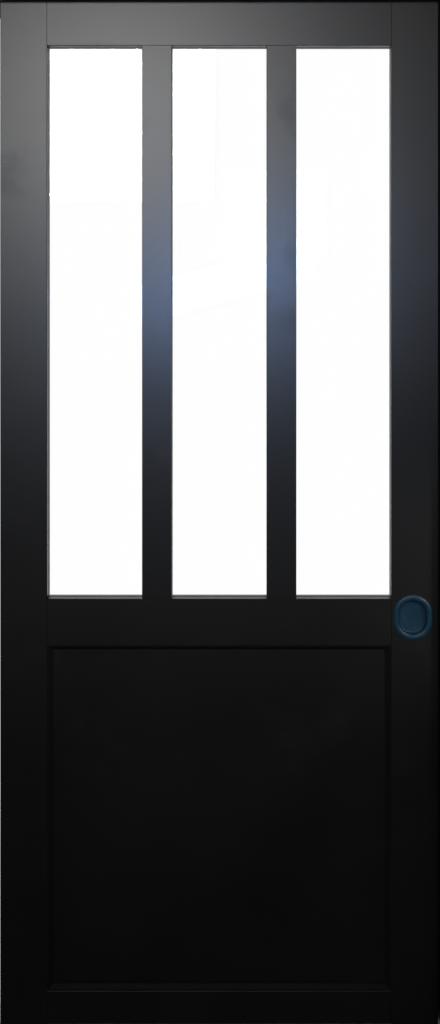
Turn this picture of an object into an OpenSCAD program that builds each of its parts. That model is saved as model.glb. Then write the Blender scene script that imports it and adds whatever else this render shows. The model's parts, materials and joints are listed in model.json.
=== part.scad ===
// Top-hung sliding door with its frame: a half-glazed leaf on two wheeled trolleys, a head with a
// hidden track, two jambs and a post behind the leaf. The origin is on the floor in the middle of the
// frame, +z is up, and the side with the fascia and the visible leaf faces -y.

/* [Leaf] */
// Width of the sliding leaf
leaf_w = 914; // [800:1:1100]
// Height of the sliding leaf
leaf_h = 2134; // [1950:1:2400]
// Thickness of the leaf
leaf_t = 40; // [38:0.5:50]
// Width of the two stiles
stile_w = 98; // [94:1:130]
// Height of the top rail
top_rail_h = 92; // [80:1:140]
// Height of the middle rail
middle_rail_h = 98; // [80:1:160]
// Height of the bottom rail
bottom_rail_h = 70; // [64:1:180]
// Height of the opening for the lower panel
panel_opening_h = 720; // [400:1:900]
// Width of the two glazing bars
bar_w = 62; // [50:1:90]
// Chamfer along the edges of the leaf and the frame boards
arris = 1; // [0.5:0.1:2]

/* [Glass and panel] */
// Thickness of the glass
glass_t = 6; // [4:0.5:8]
// Thickness of the lip in front of the glass
lip_t = 17; // [14:0.5:18]
// Depth of the rebate for the glass and its beads
rebate_w = 10; // [8:0.5:12]
// Thickness of the lower panel
panel_t = 14; // [9:0.5:16]
// Depth of the groove around the lower panel
panel_groove_d = 12; // [8:0.5:14]
// Width of the bevelled moulding around the lower panel
moulding_w = 10; // [6:0.5:16]

/* [Pull] */
// Radius of the rounded ends of the pull
pull_r = 41; // [34:0.5:44]
// Straight length between the rounded ends
pull_straight = 13; // [2:0.5:60]
// Distance of the pull from the closing edge of the leaf
pull_inset = 53; // [48:0.5:56]
// Height of the pull above the lower edge of the middle rail
pull_rise = 59; // [30:1:200]
// Depth of the finger dish
pull_depth = 8; // [5:0.5:10]
// Width of the raised rim
pull_rim_w = 12; // [8:0.5:16]
// Height of the raised rim
pull_rim_h = 3; // [2:0.25:4]

/* [Frame] */
// Depth of the frame behind the leaf, where the wall ends
wall_t = 90; // [80:1:160]
// Thickness of the two jambs
jamb_t = 35; // [28:1:50]
// Width of the post behind the leaf
post_w = 45; // [40:1:70]
// Thickness of the head
head_t = 30; // [26:1:45]
// Thickness of the fascia boards in front of and behind the track
fascia_t = 18; // [15:0.5:25]
// Distance that the rear fascia hangs below the top of the leaf
rear_drop = 20; // [10:1:40]
// Gap under the leaf
floor_gap = 10; // [8:0.5:15]
// Gap between the leaf and the post
post_gap = 8; // [6:0.5:12]
// Distance that the closed leaf covers the post
post_overlap = 40; // [34:1:60]
// Width of leaf that still stands in the doorway when it is open
open_projection = 110; // [102:1:200]

/* [Track and trolleys] */
// Diameter of the trolley wheels
wheel_d = 24; // [20:0.5:30]
// Width of each wheel
wheel_w = 7; // [5:0.5:10]
// Diameter of the axles
axle_d = 5; // [4:0.5:6]
// Thickness of the trolley block between the wheels
trolley_t = 12; // [10:0.5:16]
// Wall of the track
track_wall = 2.5; // [2:0.25:4]
// Gap between the top of the leaf and the track
hanger_gap = 14; // [12:0.5:20]
// Diameter of the hanger bolts
bolt_d = 8; // [6:0.5:10]
// Length of the plates let into the top of the leaf
plate_l = 90; // [76:1:120]
// Thickness of those plates
plate_t = 4; // [3:0.5:6]
// Width of the guide groove along the bottom of the leaf
guide_groove_w = 12; // [8:0.5:13]
// Depth of the guide groove
guide_groove_d = 18; // [12:0.5:20]

/* [Hidden] */
$fn = 48;

// Finishes
leaf_black = [0.075, 0.078, 0.085];
frame_black = [0.085, 0.088, 0.095];
pull_blue = [0.08, 0.155, 0.205];
clear_glass = [0.82, 0.9, 0.9, 0.35];
aluminium = [0.72, 0.73, 0.75];
zinc = [0.62, 0.63, 0.66];
dark_nylon = [0.13, 0.13, 0.14];
pale_nylon = [0.86, 0.86, 0.83];
soft_rubber = [0.09, 0.09, 0.09];

// Cuts and clearances
overrun = 1;
tenon_fit = 0.15;
screw_fit = 0.1;
axle_fit = 0.05;
panel_fit = 0.15;
pocket_fit = 0.5;
glass_edge_gap = 2;
panel_edge_gap = 1;
mitre_gap = 0.25;
fascia_gap = 2;
fascia_cover = 1;
strike_gap = 3;
park_gap = 3;
buffer_gap = 0.4;

// Joints of the leaf
tenon_share = 0.3;
tenon_t = leaf_t * tenon_share;
tenon_l = 45;
tenon_end_gap = 1;
tenon_margin = 4;
rail_shoulder = max(rebate_w, panel_groove_d) + tenon_margin;
bottom_shoulder = guide_groove_d + tenon_margin;
bar_tenon_l = 25;
bar_shoulder = rebate_w + tenon_margin;

// Layout of the leaf, from its lower left front corner
inside_w = leaf_w - 2 * stile_w;
pane_w = (inside_w - 2 * bar_w) / 3;
middle_rail_z = bottom_rail_h + panel_opening_h;
pane_z = middle_rail_z + middle_rail_h;
top_rail_z = leaf_h - top_rail_h;
pane_h = top_rail_z - pane_z;
panel_front = (leaf_t - panel_t) / 2;

// Mouldings and beads
moulding_set_back = 3;
moulding_flat = 2;
moulding_foot = 2.5;
bead_set_back = 1;
bead_arris = 1.5;

// Pull
pull_z = middle_rail_z + pull_rise;
pull_wall = 2;
pull_dish_slope = 2;
pull_face_r = pull_r - pull_rim_w;
pull_body_r = pull_face_r + pull_wall;
pull_floor_r = pull_face_r - pull_dish_slope;
rim_arc_r = (pow(pull_rim_w / 2, 2) + pow(pull_rim_h, 2)) / (2 * pull_rim_h);
pull_pocket_d = pull_depth + pull_wall + pocket_fit;

// Hanger bolts, their nuts and plates
hex_share = 1 / cos(30);
bolt_af_share = 1.625;
bolt_af = bolt_d * bolt_af_share;
bolt_corner_d = bolt_af * hex_share;
bolt_head_share = 0.66;
bolt_head_h = bolt_d * bolt_head_share;
nut_h_share = 0.8;
nut_h = bolt_d * nut_h_share;
bolt_hole_gap = 0.3;
bolt_tail = 4;
nut_pocket_gap = 2;
plate_edge = 5;
plate_w = leaf_t - 2 * plate_edge;
plate_corner_r = 4;
plate_stile_gap = 12;
plate_screw_x = 12;
plate_screw_y = 8;
plate_screw_d = 4;
plate_screw_l = 32;

// Trolleys and wheels
wheel_side_gap = 0.5;
wheel_lift = 0.3;
wheel_edge = 0.8;
wheel_web_inset = 1.5;
wheel_hub_share = 0.45;
wheel_rim_share = 0.76;
axle_head_t = 1;
axle_head_margin = 1.5;
boss_wall = 2.5;
boss_gap = 2;
boss_lip_gap = 2;
boss_w = 24;
boss_top = 1.5;
head_pocket_gap = 0.5;
boss_l = bolt_corner_d + 2 * (head_pocket_gap + boss_wall);
axle_spacing = wheel_d + boss_l + 2 * boss_gap;
trolley_nose = 4;
trolley_l = axle_spacing + wheel_d + 2 * trolley_nose;
trolley_h = 14;
trolley_ease = 2;
trolley_inset = stile_w + plate_stile_gap + plate_l / 2;

// Track
track_side_gap = 1.5;
track_headroom = 6.7;
slot_side_gap = 3;
track_inner_w = trolley_t + 2 * (wheel_side_gap + wheel_w + axle_head_t + track_side_gap);
track_w = track_inner_w + 2 * track_wall;
track_h = 2 * track_wall + wheel_lift + wheel_d + track_headroom;
track_slot_w = bolt_d + 2 * slot_side_gap;
track_flange_w = 4;
track_end_gap = 1;
track_screw_d = 4;
track_screw_l = 26;
track_screw_end = 120;
track_screw_count = 6;

// Stops
stop_l = 24;
stop_h = 20;
stop_side_gap = 0.5;
stop_clamp_t = 3;
stop_clamp_inset = 3;
stop_screw_d = 6;
stop_screw_head_d = 10;
stop_screw_head_h = 3;
stop_screw_l = 16;
buffer_d = 10;
buffer_l = 8;
buffer_dome = 2;

// Frame
bay_t = max(leaf_t, track_w + 2 * track_flange_w - 2 * fascia_gap);
frame_d = fascia_t + fascia_gap + bay_t + post_gap + wall_t;
front_y = -frame_d / 2;
back_y = frame_d / 2;
leaf_mid_y = front_y + fascia_t + fascia_gap + bay_t / 2;
leaf_y = leaf_mid_y - leaf_t / 2;
post_y = leaf_mid_y + bay_t / 2 + post_gap;
travel = leaf_w - post_overlap - open_projection;
inner_w = park_gap + travel + leaf_w + strike_gap;
strike_x = inner_w / 2;
leaf_x = strike_x - strike_gap - leaf_w;
post_x = leaf_x + post_overlap - post_w;
leaf_top = floor_gap + leaf_h;
track_z = leaf_top + hanger_gap;
head_z = track_z + track_h;
frame_h = head_z + head_t;
axle_z = track_z + track_wall + wheel_lift + wheel_d / 2;
trolley_xs = [leaf_x + trolley_inset, leaf_x + leaf_w - trolley_inset];

// Frame fixings
jamb_screw_d = 6;
jamb_screw_l = 90;
jamb_screw_y = 40;
fascia_screw_d = 4;
fascia_screw_l = 45;
fascia_screw_end = 160;
fascia_screw_count = 5;
rear_screw_l = 70;
post_screw_d = 5;
post_screw_l = 90;
post_screw_inset = 16;
wall_hole_d = 7;
wall_hole_sink_d = 14;
wall_hole_pitch_y = 50;
wall_hole_low = 350;
wall_hole_pitch_z = 1500;

// Strike seal
seal_w = 8;
seal_base_t = 3;
seal_nose_r = 2.5;
seal_kerf_fit = 0.15;

// Floor guide
guide_inset = 3;
guide_x = max(leaf_x, post_x) + guide_inset;
guide_l = post_x + post_w - guide_inset - guide_x;
guide_plate_t = 3;
guide_upstand_h = 60;
guide_front_gap = 6;
guide_fin_gap = 1;
guide_fin_l = guide_l - 2 * guide_inset;
guide_fin_ease = 1.5;
guide_fin_top_gap = 4;
guide_screw_d = 4;
guide_screw_l = 35;
guide_screw_zs = [22, 46];
guide_fin_w = guide_groove_w - 2 * guide_fin_gap;

// Screws
screw_head_share = 2;
screw_tip_share = 0.2;

// Shared forms

// A rectangle with its four corners eased
module eased_rectangle(w, d, ease = arris) {
    polygon([
        [ease, 0], [w - ease, 0], [w, ease], [w, d - ease],
        [w - ease, d], [ease, d], [0, d - ease], [0, ease]]);
}

// A board that stands up, w wide, d deep and h high
module upright_board(w, d, h) {
    linear_extrude(h) eased_rectangle(w, d);
}

// A board that lies along x, l long, d deep and h high
module level_board(l, d, h) {
    along_x(l) eased_rectangle(d, h);
}

// Draws a section in y and z and runs it along x
module along_x(l) {
    rotate([90, 0, 90]) linear_extrude(l) children();
}

// Draws an outline in x and z and runs it from y = 0 to y = d
module along_y(d) {
    translate([0, d, 0]) rotate([90, 0, 0]) linear_extrude(d) children();
}

// A flat rectangle with round corners, centred
module round_rectangle(l, w, r) {
    square([l - 2 * r, w], center = true);
    square([l, w - 2 * r], center = true);
    for (x = [-1, 1], y = [-1, 1])
        translate([x * (l / 2 - r), y * (w / 2 - r)]) circle(r);
}

// A countersunk screw with the top of its head at the origin and its point along +z
module screw_form(d, l, fit = 0) {
    head_d = d * screw_head_share;
    head_h = (head_d - d) / 2;
    cylinder(h = head_h, d1 = head_d + 2 * fit, d2 = d + 2 * fit);
    cylinder(h = l - d, d = d + 2 * fit);
    translate([0, 0, l - d])
        cylinder(h = d + fit, d1 = d + 2 * fit, d2 = d * screw_tip_share + 2 * fit);
}

// The hole that such a screw fills
module screw_hole(d, l) {
    screw_form(d, l, screw_fit);
    translate([0, 0, -overrun]) cylinder(h = overrun, d = d * screw_head_share + 2 * screw_fit);
}

// A six-sided head or nut
module hexagon(af, h) {
    cylinder(h = h, d = af * hex_share, $fn = 6);
}

module in_leaf() {
    translate([leaf_x, leaf_y, floor_gap]) children();
}

// Evenly spaced places from one end of the head to the other
function spread(count, end) = [
    for (i = [0 : count - 1]) -inner_w / 2 + end + i * (inner_w - 2 * end) / (count - 1)];

// Leaf

// A bar along the middle of a rail whose ends are its tenons, or with a fit the mortises for them
module rail_tenons(z, h, low, fit = 0, end_gap = 0) {
    translate([stile_w - tenon_l - end_gap, (leaf_t - tenon_t) / 2 - fit, z + low - fit])
        cube([
            inside_w + 2 * (tenon_l + end_gap), tenon_t + 2 * fit,
            h - low - rail_shoulder + 2 * fit]);
}

module rail_mortises() {
    rail_tenons(0, bottom_rail_h, bottom_shoulder, tenon_fit, tenon_end_gap);
    rail_tenons(middle_rail_z, middle_rail_h, rail_shoulder, tenon_fit, tenon_end_gap);
    rail_tenons(top_rail_z, top_rail_h, rail_shoulder, tenon_fit, tenon_end_gap);
}

function bar_x(i) = stile_w + pane_w + i * (pane_w + bar_w);
function pane_x(i) = stile_w + i * (pane_w + bar_w);

module bar_tenons(i, fit = 0, end_gap = 0) {
    translate([
        bar_x(i) + bar_shoulder - fit, (leaf_t - tenon_t) / 2 - fit,
        pane_z - bar_tenon_l - end_gap])
        cube([
            bar_w - 2 * bar_shoulder + 2 * fit, tenon_t + 2 * fit,
            pane_h + 2 * (bar_tenon_l + end_gap)]);
}

module bar_mortises() {
    for (i = [0, 1])
        bar_tenons(i, tenon_fit, tenon_end_gap);
}

// The rebates behind the panes, open at the back
module glass_rebates() {
    for (i = [0 : 2])
        translate([pane_x(i) - rebate_w, lip_t, pane_z - rebate_w])
            cube([pane_w + 2 * rebate_w, leaf_t - lip_t + overrun, pane_h + 2 * rebate_w]);
}

// The groove that holds the edges of the lower panel
module panel_groove() {
    translate([
        stile_w - panel_groove_d, panel_front - panel_fit, bottom_rail_h - panel_groove_d])
        cube([
            inside_w + 2 * panel_groove_d, panel_t + 2 * panel_fit,
            panel_opening_h + 2 * panel_groove_d]);
}

module guide_groove() {
    translate([-overrun, (leaf_t - guide_groove_w) / 2, -overrun])
        cube([leaf_w + 2 * overrun, guide_groove_w, guide_groove_d + overrun]);
}

// The pocket for one pull, sunk from the front face
module pull_pocket() {
    translate([leaf_w - pull_inset, -overrun, pull_z])
        along_y(pull_pocket_d + overrun) {
            square([2 * (pull_body_r + pocket_fit), pull_straight], center = true);
            for (side = [-1, 1])
                translate([0, side * pull_straight / 2]) circle(pull_body_r + pocket_fit);
        }
}

// Turns a form for the front of the leaf round to the back
module to_back() {
    translate([0, leaf_t, 0]) mirror([0, 1, 0]) children();
}

module left_stile() {
    color(leaf_black) in_leaf() difference() {
        upright_board(stile_w, leaf_t, leaf_h);
        rail_mortises();
        glass_rebates();
        panel_groove();
        guide_groove();
    }
}

module right_stile() {
    color(leaf_black) in_leaf() difference() {
        translate([leaf_w - stile_w, 0, 0]) upright_board(stile_w, leaf_t, leaf_h);
        rail_mortises();
        glass_rebates();
        panel_groove();
        guide_groove();
        pull_pocket();
        to_back() pull_pocket();
    }
}

// One rail with its tenons
module rail(z, h, low) {
    translate([stile_w, 0, z]) level_board(inside_w, leaf_t, h);
    rail_tenons(z, h, low);
}

module top_rail() {
    color(leaf_black) in_leaf() difference() {
        rail(top_rail_z, top_rail_h, rail_shoulder);
        glass_rebates();
        bar_mortises();
        for (x = [trolley_inset, leaf_w - trolley_inset])
            translate([x, leaf_t / 2, leaf_h]) plate_housing();
    }
}

module middle_rail() {
    color(leaf_black) in_leaf() difference() {
        rail(middle_rail_z, middle_rail_h, rail_shoulder);
        glass_rebates();
        bar_mortises();
        panel_groove();
        pull_pocket();
        to_back() pull_pocket();
    }
}

module bottom_rail() {
    color(leaf_black) in_leaf() difference() {
        rail(0, bottom_rail_h, bottom_shoulder);
        panel_groove();
        guide_groove();
    }
}

module glazing_bar(i) {
    color(leaf_black) in_leaf() {
        difference() {
            translate([bar_x(i), 0, pane_z]) upright_board(bar_w, leaf_t, pane_h);
            glass_rebates();
        }
        bar_tenons(i);
    }
}

module left_glazing_bar() { glazing_bar(0); }
module right_glazing_bar() { glazing_bar(1); }

module lower_panel() {
    reach = panel_groove_d - panel_edge_gap;
    color(leaf_black) in_leaf()
        translate([stile_w - reach, panel_front, bottom_rail_h - reach])
            cube([inside_w + 2 * reach, panel_t, panel_opening_h + 2 * reach]);
}

module glass_pane(i) {
    reach = rebate_w - glass_edge_gap;
    color(clear_glass) in_leaf()
        translate([pane_x(i) - reach, lip_t, pane_z - reach])
            cube([pane_w + 2 * reach, glass_t, pane_h + 2 * reach]);
}

module left_glass() { glass_pane(0); }
module middle_glass() { glass_pane(1); }
module right_glass() { glass_pane(2); }

// The lower one of four mitred strips; its section runs inwards from the edge, then front to back
module lower_strip(w, section, width) {
    intersection() {
        along_x(w) polygon([for (p = section) [p[1], p[0]]]);
        along_y(leaf_t) polygon([
            [mitre_gap, 0], [w - mitre_gap, 0],
            [w - width - mitre_gap, width], [width + mitre_gap, width]]);
    }
}

// The left one of four mitred strips
module left_strip(h, section, width) {
    intersection() {
        linear_extrude(h) polygon(section);
        along_y(leaf_t) polygon([[0, 0], [width, width], [width, h - width], [0, h]]);
    }
}

// Four mitred strips around the inside of an opening w wide and h high
module mitred_strips(w, h, section, width) {
    lower_strip(w, section, width);
    translate([0, 0, h]) mirror([0, 0, 1]) lower_strip(w, section, width);
    left_strip(h, section, width);
    translate([w, 0, 0]) mirror([1, 0, 0]) left_strip(h, section, width);
}

module panel_moulding() {
    translate([stile_w, 0, bottom_rail_h])
        mitred_strips(
            inside_w, panel_opening_h,
            [
                [0, moulding_set_back], [moulding_flat, moulding_set_back],
                [moulding_w, panel_front - moulding_foot], [moulding_w, panel_front],
                [0, panel_front]],
            moulding_w);
}

module front_panel_moulding() {
    color(leaf_black) in_leaf() panel_moulding();
}

module rear_panel_moulding() {
    color(leaf_black) in_leaf() to_back() panel_moulding();
}

// The beads that hold one pane from behind
module glazing_beads(i) {
    glass_back = lip_t + glass_t;
    bead_back = leaf_t - bead_set_back;
    color(leaf_black) in_leaf()
        translate([pane_x(i) - rebate_w, 0, pane_z - rebate_w])
            mitred_strips(
                pane_w + 2 * rebate_w, pane_h + 2 * rebate_w,
                [
                    [0, glass_back], [rebate_w, glass_back], [rebate_w, bead_back - bead_arris],
                    [rebate_w - bead_arris, bead_back], [0, bead_back]],
                rebate_w);
}

module left_glazing_beads() { glazing_beads(0); }
module middle_glazing_beads() { glazing_beads(1); }
module right_glazing_beads() { glazing_beads(2); }

// Half the section of the pull: x outwards from the middle line, y towards the face of the leaf
module pull_half_section() {
    polygon([
        [0, -pull_depth], [pull_floor_r, -pull_depth], [pull_face_r, 0], [pull_body_r, 0],
        [pull_body_r, -pull_depth - pull_wall], [0, -pull_depth - pull_wall]]);
    intersection() {
        translate([pull_r - pull_rim_w / 2, pull_rim_h - rim_arc_r]) circle(rim_arc_r);
        translate([pull_face_r, 0]) square([pull_rim_w, pull_rim_h]);
    }
}

// A dished pull with round ends, its face turned up
module pull_cup() {
    for (side = [0, 1])
        mirror([0, side, 0]) translate([0, pull_straight / 2, 0])
            rotate_extrude(angle = 180) pull_half_section();
    for (side = [0, 1])
        mirror([side, 0, 0]) translate([0, pull_straight / 2, 0])
            rotate([90, 0, 0]) linear_extrude(pull_straight) pull_half_section();
}

module front_pull() {
    color(pull_blue) in_leaf()
        translate([leaf_w - pull_inset, 0, pull_z]) rotate([90, 0, 0]) pull_cup();
}

module rear_pull() {
    color(pull_blue) in_leaf() to_back()
        translate([leaf_w - pull_inset, 0, pull_z]) rotate([90, 0, 0]) pull_cup();
}

// Hanging gear on the leaf

function plate_screw_places() = [
    for (x = [-1, 1], y = [-1, 1])
        [x * (plate_l / 2 - plate_screw_x), y * (plate_w / 2 - plate_screw_y), 0]];

// The seat of a top plate, sunk from the top of the leaf, with the nut's pocket and screw holes
module plate_housing() {
    translate([0, 0, -plate_t]) linear_extrude(plate_t + overrun)
        round_rectangle(
            plate_l + 2 * screw_fit, plate_w + 2 * screw_fit, plate_corner_r + screw_fit);
    pocket_d = nut_h + bolt_tail + nut_pocket_gap;
    translate([0, 0, -plate_t - pocket_d])
        cylinder(h = pocket_d + overrun, d = bolt_corner_d + 2 * nut_pocket_gap);
    for (place = plate_screw_places())
        translate(place) mirror([0, 0, 1]) screw_hole(plate_screw_d, plate_screw_l);
}

module top_plate(i) {
    color(zinc) translate([trolley_xs[i], leaf_mid_y, leaf_top]) difference() {
        translate([0, 0, -plate_t]) linear_extrude(plate_t)
            round_rectangle(plate_l, plate_w, plate_corner_r);
        translate([0, 0, -plate_t - overrun])
            cylinder(h = plate_t + 2 * overrun, d = bolt_d + 2 * bolt_hole_gap);
        for (place = plate_screw_places())
            translate(place) mirror([0, 0, 1]) screw_hole(plate_screw_d, plate_screw_l);
    }
}

module left_top_plate() { top_plate(0); }
module right_top_plate() { top_plate(1); }

module top_plate_screws() {
    color(zinc) for (x = trolley_xs, place = plate_screw_places())
        translate([x, leaf_mid_y, leaf_top]) translate(place)
            mirror([0, 0, 1]) screw_form(plate_screw_d, plate_screw_l);
}

module hanger_bolt(i) {
    foot_z = leaf_top - plate_t - nut_h - bolt_tail;
    color(zinc) translate([trolley_xs[i], leaf_mid_y, 0]) {
        translate([0, 0, foot_z]) cylinder(h = axle_z - foot_z, d = bolt_d);
        translate([0, 0, axle_z]) hexagon(bolt_af, bolt_head_h);
    }
}

module left_hanger_bolt() { hanger_bolt(0); }
module right_hanger_bolt() { hanger_bolt(1); }

// One nut on each hanger bolt, with its lower face at z
module nuts_at(z) {
    for (x = trolley_xs)
        translate([x, leaf_mid_y, z]) difference() {
            hexagon(bolt_af, nut_h);
            translate([0, 0, -overrun])
                cylinder(h = nut_h + 2 * overrun, d = bolt_d + 2 * screw_fit);
        }
}

module lock_nuts() { color(zinc) nuts_at(leaf_top); }
module clamp_nuts() { color(zinc) nuts_at(leaf_top - plate_t - nut_h); }

// A block with a bore for each axle and a pocket for the head of the hanger bolt
module trolley(i) {
    boss_drop = wheel_d / 2 - boss_lip_gap;
    boss_rise = bolt_head_h + boss_top;
    color(dark_nylon) translate([trolley_xs[i], leaf_mid_y, axle_z]) difference() {
        union() {
            translate([-trolley_l / 2, -trolley_t / 2, -trolley_h / 2])
                along_y(trolley_t) eased_rectangle(trolley_l, trolley_h, trolley_ease);
            translate([-boss_l / 2, -boss_w / 2, -boss_drop])
                linear_extrude(boss_drop + boss_rise)
                    eased_rectangle(boss_l, boss_w, trolley_ease);
        }
        for (side = [-1, 1])
            translate([side * axle_spacing / 2, -trolley_t / 2 - overrun, 0])
                rotate([-90, 0, 0]) cylinder(h = trolley_t + 2 * overrun, d = axle_d + 2 * axle_fit);
        translate([0, 0, -boss_drop - overrun])
            cylinder(h = boss_drop + 2 * overrun, d = bolt_d + 2 * screw_fit);
        cylinder(h = boss_rise + overrun, d = bolt_corner_d + 2 * head_pocket_gap);
    }
}

module left_trolley() { trolley(0); }
module right_trolley() { trolley(1); }

// Places of the four wheel sets: outer and inner on the left trolley, inner and outer on the right
wheelset_xs = [
    for (x = trolley_xs, side = [-1, 1]) x + side * axle_spacing / 2];
axle_half_l = trolley_t / 2 + wheel_side_gap + wheel_w + axle_head_t;

module at_wheelset(i) {
    translate([wheelset_xs[i], leaf_mid_y, axle_z]) children();
}

// An axle with a riveted head on each end
module axle(i) {
    color(zinc) at_wheelset(i) rotate([-90, 0, 0]) {
        translate([0, 0, -axle_half_l]) cylinder(h = 2 * axle_half_l, d = axle_d);
        for (side = [0, 1])
            mirror([0, 0, side]) translate([0, 0, axle_half_l - axle_head_t])
                cylinder(h = axle_head_t, d = axle_d + 2 * axle_head_margin);
    }
}

// A moulded wheel with a hub, a sunk web and eased treads
module wheel() {
    r = wheel_d / 2;
    hub_r = r * wheel_hub_share;
    rim_r = r * wheel_rim_share;
    rotate_extrude() polygon([
        [axle_d / 2 + axle_fit, 0], [hub_r, 0], [hub_r, wheel_web_inset], [rim_r, wheel_web_inset],
        [rim_r, 0], [r - wheel_edge, 0], [r, wheel_edge], [r, wheel_w - wheel_edge],
        [r - wheel_edge, wheel_w], [rim_r, wheel_w], [rim_r, wheel_w - wheel_web_inset],
        [hub_r, wheel_w - wheel_web_inset], [hub_r, wheel_w], [axle_d / 2 + axle_fit, wheel_w]]);
}

module wheel_pair(i) {
    color(pale_nylon) at_wheelset(i) for (side = [0, 1])
        mirror([0, side, 0]) translate([0, trolley_t / 2 + wheel_side_gap, 0])
            rotate([-90, 0, 0]) wheel();
}

module left_outer_axle() { axle(0); }
module left_outer_wheels() { wheel_pair(0); }
module left_inner_axle() { axle(1); }
module left_inner_wheels() { wheel_pair(1); }
module right_inner_axle() { axle(2); }
module right_inner_wheels() { wheel_pair(2); }
module right_outer_axle() { axle(3); }
module right_outer_wheels() { wheel_pair(3); }

// Track and stops

// The extruded track: a box open below, with a fixing flange on each side of its top
module track_section() {
    half = track_w / 2;
    inner = track_inner_w / 2;
    slot = track_slot_w / 2;
    flange = half + track_flange_w;
    difference() {
        union() {
            translate([-half, 0]) square([track_w, track_h]);
            translate([-flange, track_h - track_wall]) square([2 * flange, track_wall]);
        }
        translate([-inner, track_wall]) square([track_inner_w, track_h - 2 * track_wall]);
        translate([-slot, -overrun]) square([track_slot_w, track_wall + 2 * overrun]);
    }
}

module head_track() {
    color(aluminium) difference() {
        translate([-inner_w / 2 + track_end_gap, leaf_mid_y, track_z])
            along_x(inner_w - 2 * track_end_gap) track_section();
        track_screw_places() screw_hole(track_screw_d, track_screw_l);
    }
}

module track_screw_places() {
    for (x = spread(track_screw_count, track_screw_end))
        translate([x, leaf_mid_y, head_z - track_wall]) children();
}

module track_screws() {
    color(zinc) track_screw_places() screw_form(track_screw_d, track_screw_l);
}

// Faces of the two buffers: where the noses of the trolleys arrive
closing_face_x = trolley_xs[1] + trolley_l / 2 + buffer_gap;
opening_face_x = trolley_xs[0] - travel - trolley_l / 2 - buffer_gap;
stop_z = track_z + track_wall;

// Puts a form that reaches along +x from a buffer's face at one end of the track
module at_stop(i) {
    translate([[closing_face_x, opening_face_x][i], leaf_mid_y, stop_z])
        mirror([i, 0, 0]) children();
}

module stop_screw_axis() {
    translate([buffer_l + stop_l / 2, 0, -track_wall - stop_clamp_t]) children();
}

module stop_block(i) {
    w = track_inner_w - 2 * stop_side_gap;
    color(zinc) at_stop(i) difference() {
        translate([buffer_l, -w / 2, 0]) along_x(stop_l) eased_rectangle(w, stop_h);
        stop_screw_axis() cylinder(h = stop_screw_l + screw_fit, d = stop_screw_d + 2 * screw_fit);
    }
}

module closing_stop() { stop_block(0); }
module opening_stop() { stop_block(1); }

// A rubber buffer with an eased nose, level with the trolley's block
module buffer(i) {
    color(soft_rubber) at_stop(i) translate([buffer_l, 0, axle_z - stop_z]) rotate([0, -90, 0])
        rotate_extrude() polygon([
            [0, 0], [buffer_d / 2, 0], [buffer_d / 2, buffer_l - buffer_dome],
            [buffer_d / 2 - buffer_dome, buffer_l], [0, buffer_l]]);
}

module closing_buffer() { buffer(0); }
module opening_buffer() { buffer(1); }

// The plates under the lips of the track that hold the stops
module stop_clamps() {
    w = track_w - 2 * stop_clamp_inset;
    color(zinc) for (i = [0, 1])
        at_stop(i) difference() {
            translate([buffer_l, -w / 2, -track_wall - stop_clamp_t])
                cube([stop_l, w, stop_clamp_t]);
            stop_screw_axis() translate([0, 0, -overrun])
                cylinder(h = stop_clamp_t + 2 * overrun, d = stop_screw_d + 2 * screw_fit);
        }
}

module stop_screws() {
    color(zinc) for (i = [0, 1])
        at_stop(i) stop_screw_axis() {
            cylinder(h = stop_screw_l, d = stop_screw_d);
            translate([0, 0, -stop_screw_head_h])
                cylinder(h = stop_screw_head_h, d = stop_screw_head_d);
        }
}

// Frame

// The four wall fixings through a jamb whose inner face is at x = 0 and whose outer face is at jamb_t
module wall_holes() {
    sink = (wall_hole_sink_d - wall_hole_d) / 2;
    for (y = [-1, 1], z = [0, 1])
        translate([
            0, (post_y + back_y) / 2 + y * wall_hole_pitch_y / 2,
            wall_hole_low + z * wall_hole_pitch_z])
            rotate([0, 90, 0]) {
                translate([0, 0, -overrun]) cylinder(h = jamb_t + 2 * overrun, d = wall_hole_d);
                cylinder(h = sink, d1 = wall_hole_sink_d, d2 = wall_hole_d);
            }
}

// Places of the screws that tie one jamb to the head, seen from outside the jamb
module jamb_screw_places() {
    for (y = [-jamb_screw_y, jamb_screw_y])
        translate([jamb_t, y, head_z + head_t / 2]) rotate([0, -90, 0]) children();
}

// A jamb with its inner face at x = 0
module jamb() {
    difference() {
        translate([0, front_y, 0]) upright_board(jamb_t, frame_d, frame_h);
        wall_holes();
        jamb_screw_places() screw_hole(jamb_screw_d, jamb_screw_l);
    }
}

// Puts a form drawn for the strike side at one end of the frame or the other
module at_jamb(side) {
    mirror([side, 0, 0]) translate([strike_x, 0, 0]) children();
}

module strike_jamb() {
    color(frame_black) at_jamb(0) difference() {
        jamb();
        seal_strip(seal_kerf_fit);
    }
}

module end_jamb() { color(frame_black) at_jamb(1) jamb(); }

module jamb_screws() {
    color(zinc) for (side = [0, 1])
        at_jamb(side) jamb_screw_places() screw_form(jamb_screw_d, jamb_screw_l);
}

// The base of the strike seal, or with a fit the kerf for it
module seal_strip(fit = 0) {
    translate([0, leaf_mid_y - seal_w / 2 - fit, floor_gap])
        cube([seal_base_t + fit, seal_w + 2 * fit, leaf_h]);
}

module strike_seal() {
    color(soft_rubber) at_jamb(0) {
        seal_strip();
        translate([0, leaf_mid_y, floor_gap]) linear_extrude(leaf_h) intersection() {
            circle(seal_nose_r);
            translate([-seal_nose_r, -seal_nose_r]) square([seal_nose_r, 2 * seal_nose_r]);
        }
    }
}

// The space of the rear fascia, from which the post and the board itself take their size
rear_fascia_z = leaf_top - rear_drop;
rear_fascia_h = head_z - rear_fascia_z;

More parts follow.
